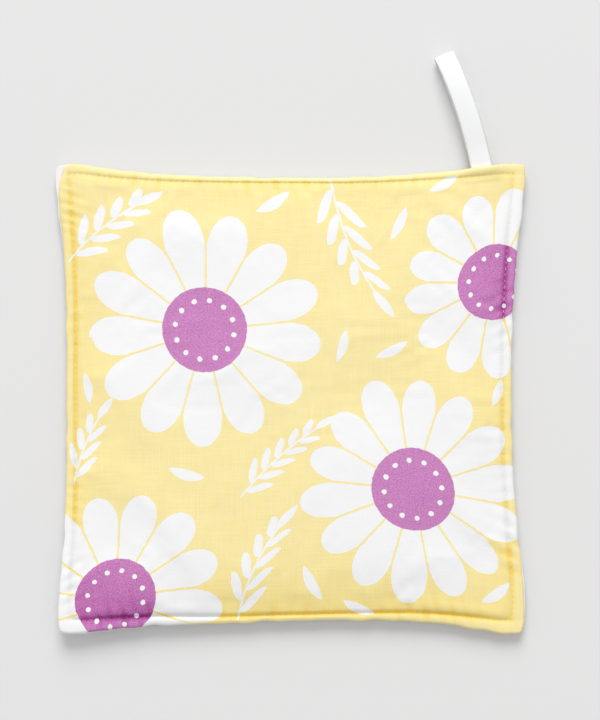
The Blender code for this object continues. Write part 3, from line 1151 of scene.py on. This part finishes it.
def cloth_material(name, colour, weave_height, relief, tone_share, roughness):
    """A cloth's material, from functions that give its colour, and its height and tone."""
    material, shader = new_shader(name)
    source = add_node(material.node_tree, "ShaderNodeUVMap", uv_map="flat_cloth")
    centred = vector_calc("SUBTRACT", Term(source.outputs["UV"]), (0.5, 0.5, 0.0))
    place = vector_calc("SCALE", centred, UV_SPAN / MM)
    height, tone = weave_height(place)
    toned = vector_calc("SCALE", colour(place, tone), tone * tone_share + 1.0)
    finish_shader(shader, toned, height * -0.06 + roughness, height, relief)
    shader.inputs["Specular IOR Level"].default_value = 0.25
    shader.inputs["Sheen Weight"].default_value = 0.12
    shader.inputs["Sheen Roughness"].default_value = 0.5
    return material


def needle_holes(place, count):
    """1 in the needle holes along the topstitching, for a place on the flat cloth."""
    x, y = split(place)
    far_x, far_y = abs(x), abs(y)
    line = (HALF - SEAM_MARGIN) / MM
    pitch = 2 * line / count
    share = ((far_x > far_y) * (y - x) + x) / pitch
    beside = (share - calc("ROUND", share)) * pitch
    away = calc("MAXIMUM", far_x, far_y) - line
    return soft_step(HOLE_RADIUS - length_of(away, beside), HOLE_EDGE)


def print_material(looks, stitches):
    """Canvas printed with daisies and sprigs on a plain ground."""
    weave = weave_group()
    motifs = ((daisy_group(), DAISIES), (sprig_group(), SPRIGS), (leaf_group(), LEAVES))

    def pattern(place, tone):
        """The printed colours, with painted shade in the channel, on its slopes, towards the front
        edge, in the puckers and in the needle holes.
        """
        holes = needle_holes(place, stitches)
        place = wandered(place, scale=0.45, detail=3.0, size=0.9)
        layers = {"White": 0.0, "Disc": 0.0}
        for group, rows in motifs:
            for row in rows:
                for label, shape in use_group(group, place, row._asdict()).items():
                    layers[label] = calc("MAXIMUM", layers[label], shape)
        printed = blend_colour(layers["White"], (*looks.ground, 1), (*looks.petal, 1))
        yarns = tone * (1.0 - layers["White"]) * 0.080 + 1.0
        printed = vector_calc("SCALE", printed, yarns)
        speck = (noise(place, scale=1.5, detail=1.0) - 0.5) * 1.1
        speck = tone * 0.10 + speck
        dye = vector_calc("SCALE", tuple(looks.disc), speck + 1.0)
        dyed = blend_colour(layers["Disc"], printed, dye)
        # Painted shade: the attribute and the needle holes darken and deepen the print's colour
        # through a Gamma node
        crease = add_node(place.tree, "ShaderNodeAttribute", attribute_name="crease")
        depth = holes * HOLE_PAINTED_SHADE + Term(crease.outputs["Fac"])
        with_painted_shade = add_node(place.tree, "ShaderNodeGamma", Color=dyed, Gamma=depth * 0.9 + 1.0)
        return Term(with_painted_shade.outputs["Color"])

    def weave_height(place):
        """Height and tone of the canvas's weave."""
        made = use_group(weave, place, {"Yarn": looks.yarn / MM})
        return made["Height"] - needle_holes(place, stitches) * 1.5, made["Tone"]

    relief = Relief(strength=0.34, distance=0.00020)
    return cloth_material("printed_canvas", pattern, weave_height, relief,
                          tone_share=0.004, roughness=0.82)


def clouded(colour, low_share, scale, detail):
    """A function that gives a plain colour with soft clouds of a darker tone."""
    def plain(place, tone):
        """The colour at a place."""
        share = noise(place, scale, detail)
        return blend_colour(share, shaded(colour, 1.0), shaded(colour, low_share))

    return plain


def white_material(looks):
    """Plain white cotton cloth for the back."""
    weave = bpy.data.node_groups.get("plain_weave") or weave_group()

    def weave_height(place):
        """Height and tone of a finer plain weave."""
        made = use_group(weave, place, {"Yarn": 0.8 * looks.yarn / MM})
        return made["Height"], made["Tone"]

    plain = clouded(looks.back, low_share=0.97, scale=0.03, detail=3.0)
    relief = Relief(strength=0.4, distance=0.00018)
    return cloth_material("white_cloth", plain, weave_height, relief,
                          tone_share=0.025, roughness=0.85)


def tape_material(looks):
    """White twill tape: slanting ribs that turn at the middle."""

    def twill(place):
        """Height and tone of the herringbone ribs."""
        x, y = split(place)
        rib = calc("SINE", (abs(x) + y) * (2 * pi / RIB_PITCH))
        yarn = calc("SINE", x * (2 * pi / TAPE_YARN))
        height = yarn * 0.35 + rib + (noise(place, scale=1.2, detail=3.0) - 0.5)
        return height * 0.35 + 0.5, height

    plain = clouded(looks.colour, low_share=0.98, scale=0.2, detail=2.0)
    relief = Relief(strength=0.5, distance=0.00018)
    return cloth_material("white_tape", plain, twill, relief, tone_share=0.012, roughness=0.80)


def thread_material(looks):
    """Cotton sewing thread with the fine lay of its plies."""
    material, shader = new_shader("thread")
    source = add_node(material.node_tree, "ShaderNodeTexCoord")
    place = vector_calc("SCALE", Term(source.outputs["Object"]), 1 / MM)
    x, y = split(place)
    lay = calc("SINE", (x + y) * (2 * pi / PLY_PITCH))
    fuzz = noise(place, scale=3.0)
    colour = vector_calc("SCALE", tuple(looks.colour), fuzz * 0.10 + 0.93)
    relief = Relief(strength=0.4, distance=0.00008)
    finish_shader(shader, colour, fuzz * 0.15 + 0.55, lay, relief)
    return material


def stitch_tree():
    """Geometry Nodes that lay stitches along a path of edges with a normal each."""
    tree = bpy.data.node_groups.new("stitches", "GeometryNodeTree")
    tree.is_modifier = True
    for label, kind in (
        ("Geometry", "NodeSocketGeometry"), ("Length", "NodeSocketFloat"),
        ("Thread", "NodeSocketFloat"), ("Sides", "NodeSocketInt"),
        ("Material", "NodeSocketMaterial"),
    ):
        tree.interface.new_socket(label, in_out="INPUT", socket_type=kind)
    tree.interface.new_socket("Geometry", in_out="OUTPUT", socket_type="NodeSocketGeometry")
    given = tree.nodes.new("NodeGroupInput").outputs
    length, thread = Term(given["Length"]), Term(given["Thread"])
    path = add_node(tree, "GeometryNodeMeshToCurve", Mesh=given["Geometry"])
    start, top, end = (
        add_node(tree, "ShaderNodeCombineXYZ", X=length * point.along, Z=thread * point.height)
        for point in STITCH_ARC
    )
    arc = add_node(
        tree, "GeometryNodeCurveQuadraticBezier", Resolution=STITCH_STEPS,
        Start=start.outputs[0], Middle=top.outputs[0], End=end.outputs[0],
    )
    section = add_node(tree, "GeometryNodeCurvePrimitiveCircle", Resolution=given["Sides"],
                       Radius=thread * 0.5)
    stitch = add_node(tree, "GeometryNodeCurveToMesh", Curve=arc.outputs[0],
                      Profile_Curve=section.outputs["Curve"], Fill_Caps=True)
    up = add_node(tree, "GeometryNodeInputNamedAttribute", data_type="FLOAT_VECTOR",
                  Name="cloth_normal")
    stand = add_node(tree, "FunctionNodeAlignRotationToVector", axis="Z",
                     Vector=up.outputs["Attribute"])
    tangent = add_node(tree, "GeometryNodeInputTangent")
    follow = add_node(tree, "FunctionNodeAlignRotationToVector", axis="X", pivot_axis="Z",
                      Rotation=stand.outputs[0], Vector=tangent.outputs[0])
    laid = add_node(tree, "GeometryNodeInstanceOnPoints", Points=path.outputs[0],
                    Instance=stitch.outputs[0], Rotation=follow.outputs[0])
    real = add_node(tree, "GeometryNodeRealizeInstances", Geometry=laid.outputs[0])
    dyed = add_node(tree, "GeometryNodeSetMaterial", Geometry=real.outputs[0],
                    Material=given["Material"])
    add_node(tree, "NodeGroupOutput", Geometry=dyed.outputs[0])
    return tree


def stitch_places(surface, outward, count):
    """Middles and normals of the stitches, one open row for each side of the pad."""
    edge = 1 - SEAM_MARGIN / HALF
    run = edge * ((np.arange(count) + 0.5) * 2 / count - 1)
    fixed = np.full(count, edge)
    u = np.concatenate((run, fixed, -run, -fixed))
    v = np.concatenate((-fixed, run, fixed, -run))
    small = 0.0004 / HALF

    def place(at_u, at_v):
        """Points of the surface."""
        x, y = plan(at_u, at_v)
        return np.stack((x, y, surface(at_u, at_v)), axis=-1)

    across = place(u + small, v) - place(u - small, v)
    along = place(u, v + small) - place(u, v - small)
    normals = outward * np.cross(across, along)
    normals = normals / np.linalg.norm(normals, axis=1, keepdims=True)
    return place(u, v), normals, ease(*SUNK_STITCHES, channel_share(u, v))


def topstitching(name, surface, outward, looks, material):
    """A plain mesh of the stitches on one face of the pad."""
    points, normals, sunk = stitch_places(surface, outward, looks.count)
    points = points - normals * looks.thread * mix(*STITCH_SINK, sunk)[:, None]
    edges = [(n, n + 1) for n in range(len(points) - 1) if (n + 1) % looks.count]
    data = bpy.data.meshes.new(name + "_path")
    data.from_pydata(points.tolist(), edges, [])
    stored = data.attributes.new("cloth_normal", "FLOAT_VECTOR", "POINT")
    stored.data.foreach_set("vector", normals.ravel())
    path = bpy.data.objects.new(name + "_path", data)
    bpy.context.scene.collection.objects.link(path)
    stitches = path.modifiers.new("stitches", "NODES")
    stitches.node_group = bpy.data.node_groups.get("stitches") or stitch_tree()
    settings = {"Length": looks.length, "Thread": looks.thread, "Sides": looks.sides,
                "Material": material}
    for item in stitches.node_group.interface.items_tree:
        if item.in_out == "INPUT" and item.name in settings:
            stitches[item.identifier] = settings[item.name]
    graph = bpy.context.evaluated_depsgraph_get()
    made = bpy.data.meshes.new_from_object(path.evaluated_get(graph))
    bpy.data.objects.remove(path)
    made.name = name
    made.shade_smooth()
    return made


def tape_plan(out, beside):
    """Places in the plane: distances out from the seam, and beside the tape's middle."""
    lean = TAPE_LEAN + TAPE_CURVE * out
    x = TAPE_X - (np.cos(TAPE_LEAN) - np.cos(lean)) / TAPE_CURVE
    y = TAPE_Y + (np.sin(lean) - np.sin(TAPE_LEAN)) / TAPE_CURVE
    return x + beside * np.cos(lean), y + beside * np.sin(lean)


def tape_line(steps):
    """Distance out, height and length so far at even steps along the tape."""
    low = float(front_under(TAPE_X / HALF, 1.0)) + TAPE_SOLID / 2
    high = low + TAPE_SOLID + GAP
    outs = (-TAPE_TAB, -TAPE_TAB / 2, 0.0)
    bends = [Bend(out, high) for out in outs]
    bends += [*TAPE_BENDS, *(Bend(out, low) for out in reversed(outs))]
    gaps = [np.hypot(b.out - a.out, b.height - a.height) for a, b in zip(bends, bends[1:])]
    lengths = np.concatenate(([0.0], np.cumsum(gaps)))
    places = np.linspace(0.0, lengths[-1], steps + 1)
    out = smooth(lengths, [bend.out for bend in bends], places)
    height = smooth(lengths, [bend.height for bend in bends], places)
    return out, height, places


def tape_mesh(name, looks, steps=220, across=12):
    """The tape as a closed ribbon with soft edges, cupped a little."""
    out, height, places = tape_line(steps)
    step_out, step_up = np.gradient(out), np.gradient(height)
    size = np.hypot(step_out, step_up)
    share = np.linspace(-1, 1, across + 1)
    edge = looks.thickness / 2
    half = looks.width / 2
    bulge = np.sqrt(np.clip(1 - abs(share) ** TAPE_EDGE, 0, 1))
    ring_side = np.concatenate((share, share[-2:0:-1])) * half
    ring_up = np.concatenate((-bulge, bulge[-2:0:-1])) * edge
    cup = looks.cup * (1 - (ring_side / half) ** 2)
    points, flat = [], []
    for n in range(steps + 1):
        up = ring_up + cup * ease(0.0, TAPE_CUP_START, out[n])
        normal = (-step_up[n] / size[n], step_out[n] / size[n])
        x, y = tape_plan(out[n] + normal[0] * up, ring_side)
        z = np.maximum(height[n] + normal[1] * up, 0.0)
        points.append(np.stack((x, y, z), axis=-1))
        place = np.full_like(ring_side, places[n] - places[-1] / 2)
        flat.append(np.stack((ring_side, place), axis=-1))
    ring = len(ring_side)
    faces = [
        (n * ring + k, n * ring + (k + 1) % ring, (n + 1) * ring + (k + 1) % ring, (n + 1) * ring + k)
        for n in range(steps) for k in range(ring)
    ]
    faces.append(tuple(range(ring - 1, -1, -1)))
    faces.append(tuple(steps * ring + k for k in range(ring)))
    data = new_mesh(name, np.concatenate(points), faces, np.concatenate(flat))
    return data, float(places[-1])


class POTHOLDER_OT_front_panel(bpy.types.Operator):
    """Makes the printed, padded front"""

    bl_idname = "potholder.front_panel"
    bl_label = "Front Panel"

    def execute(self, context):
        """Builds the front's mesh and gives it the printed canvas."""
        pad = context.scene.potholder_pad
        settled = settled_heights(pad, grid_lines(FRONT_ZONES))
        data = layer_mesh(
            "padded_front", FRONT_ZONES, front_under,
            lambda u, v: front_top(u, v, pad) + settled, under_step=UNDER_STEP,
            # the print's painted shade at each point of the upper face
            depth=lambda u, v: painted_shade_depth(u, v, pad),
        )
        stitches = context.scene.potholder_stitch.count
        data.materials.append(print_material(context.scene.potholder_print, stitches))
        piece = add_piece("padded_front", data, "printed_canvas", "front_panel")
        return {"FINISHED"}


class POTHOLDER_OT_back_panel(bpy.types.Operator):
    """Makes the white back cloth"""

    bl_idname = "potholder.back_panel"
    bl_label = "Back Panel"

    def execute(self, context):
        """Builds the back's mesh as a laid sheet."""
        pad = context.scene.potholder_pad
        data = layer_mesh(
            "white_back", BACK_ZONES, lambda u, v: back_under(u, v, pad),
            lambda u, v: back_top(u, v, pad), past=BACK_PAST,
        )
        data.materials.append(white_material(context.scene.potholder_print))
        piece = add_piece("white_back", data, "white_cloth", "back_panel")
        return {"FINISHED"}


class POTHOLDER_OT_hanging_loop(bpy.types.Operator):
    """Makes the folded tape"""

    bl_idname = "potholder.hanging_loop"
    bl_label = "Hanging Loop"

    def execute(self, context):
        """Builds the tape's mesh along its fold."""
        looks = context.scene.potholder_tape
        data, length = tape_mesh("tape_loop", looks)
        data.materials.append(tape_material(looks))
        piece = add_piece("tape_loop", data, "white_tape", "hanging_loop")
        return {"FINISHED"}


class POTHOLDER_OT_topstitching(bpy.types.Operator):
    """Lays the stitches in the channel, on both faces"""

    bl_idname = "potholder.topstitching"
    bl_label = "Topstitching"

    def execute(self, context):
        """Builds one mesh of stitches for each face."""
        looks = context.scene.potholder_stitch
        pad = context.scene.potholder_pad
        material = thread_material(looks)
        faces = {
            "stitches_front": (lambda u, v: front_top(u, v, pad), 1),
            "stitches_back": (lambda u, v: back_under(u, v, pad), -1),
        }
        for name, (surface, outward) in faces.items():
            made = topstitching(name, surface, outward, looks, material)
            if not made.polygons:
                raise RuntimeError(f"{name} has no stitches")
            add_piece(name, made, "white_tape")
        return {"FINISHED"}


class POTHOLDER_OT_stage(bpy.types.Operator):
    """Makes the floor, the light and the camera"""

    bl_idname = "potholder.stage"
    bl_label = "Stage"

    def execute(self, context):
        """Builds a plain pale floor under soft light, seen from straight above."""
        looks = context.scene.potholder_stage
        add_floor(looks)
        add_light(looks)
        add_camera(looks)
        return {"FINISHED"}


def add_floor(looks):
    """A plain pale floor just under the part."""
    data = bpy.data.meshes.new("floor")
    signs = ((-1, -1), (1, -1), (1, 1), (-1, 1))
    corners = [(x * FLOOR_HALF, y * FLOOR_HALF, FLOOR_LEVEL) for x, y in signs]
    data.from_pydata(corners, [], [(0, 1, 2, 3)])
    material, shader = new_shader("floor_paint")
    shader.inputs["Base Color"].default_value = (*looks.floor, 1)
    shader.inputs["Roughness"].default_value = 0.9
    shader.inputs["Specular IOR Level"].default_value = 0.1
    data.materials.append(material)
    floor = bpy.data.objects.new("floor", data)
    bpy.context.scene.collection.objects.link(floor)


def add_light(looks):
    """Even fill from all round, a large soft key light, and a weak one from the side."""
    scene = bpy.context.scene
    world = bpy.data.worlds.new("studio")
    world.use_nodes = True
    sky = world.node_tree.nodes["Background"]
    sky.inputs["Color"].default_value = (1.0, 1.0, 1.0, 1.0)
    sky.inputs["Strength"].default_value = looks.sky
    scene.world = world
    for name, row in LAMPS.items():
        lamp = bpy.data.lights.new(name, "AREA")
        lamp.shape = "DISK"
        lamp.size = row.size
        lamp.energy = getattr(looks, name)
        lit = bpy.data.objects.new(name, lamp)
        level = LAMP_DISTANCE * cos(row.height)
        lit.location = (
            -level * sin(row.turn), level * cos(row.turn), LAMP_DISTANCE * sin(row.height)
        )
        lit.rotation_euler = (row.height - pi / 2, 0.0, row.turn)
        scene.collection.objects.link(lit)
    scene.view_settings.view_transform = "Standard"


def add_camera(looks):
    """A camera straight above, which frames the pad as it lies."""
    lens = bpy.data.cameras.new("camera")
    lens.sensor_fit = "VERTICAL"
    lens.sensor_height = SENSOR
    lens.lens = SENSOR * (looks.distance - RIM_LEVEL) / FRAME_HEIGHT
    camera = bpy.data.objects.new("camera", lens)
    camera.location = (VIEW_X, VIEW_Y, looks.distance)
    bpy.context.scene.collection.objects.link(camera)
    bpy.context.scene.camera = camera


OPERATORS = (
    POTHOLDER_OT_front_panel,
    POTHOLDER_OT_back_panel,
    POTHOLDER_OT_hanging_loop,
    POTHOLDER_OT_topstitching,
    POTHOLDER_OT_stage,
)


class POTHOLDER_PT_panel(bpy.types.Panel):
    """Lists the pieces of the pot holder"""

    bl_idname = "POTHOLDER_PT_panel"
    bl_label = "Pot Holder"
    bl_space_type = "VIEW_3D"
    bl_region_type = "UI"
    bl_category = "Pot Holder"

    def draw(self, context):
        """One button for each piece, and the settings of each group."""
        for operator in OPERATORS:
            self.layout.operator(operator.bl_idname)
        for name in LOOKS:
            box = self.layout.box()
            group = getattr(context.scene, name)
            for label in group.bl_rna.properties.keys():
                if label not in ("rna_type", "name"):
                    box.prop(group, label)


LOOKS = {
    "potholder_pad": PadLooks,
    "potholder_print": PrintLooks,
    "potholder_stitch": StitchLooks,
    "potholder_tape": TapeLooks,
    "potholder_stage": StageLooks,
}
CLASSES = (*LOOKS.values(), *OPERATORS, POTHOLDER_PT_panel)


def register():
    """Registers the classes and the scene's settings."""
    for made in CLASSES:
        bpy.utils.register_class(made)
    for name, group in LOOKS.items():
        setattr(bpy.types.Scene, name, PointerProperty(type=group))


def unregister():
    """Removes the settings and the classes."""
    for name in LOOKS:
        delattr(bpy.types.Scene, name)
    for made in reversed(CLASSES):
        bpy.utils.unregister_class(made)


def main():
    """Builds the pot holder's looks."""
    register()
    bpy.ops.potholder.front_panel()
    bpy.ops.potholder.back_panel()
    bpy.ops.potholder.hanging_loop()
    bpy.ops.potholder.topstitching()
    bpy.ops.potholder.stage()


if __name__ == "__main__":
    main()
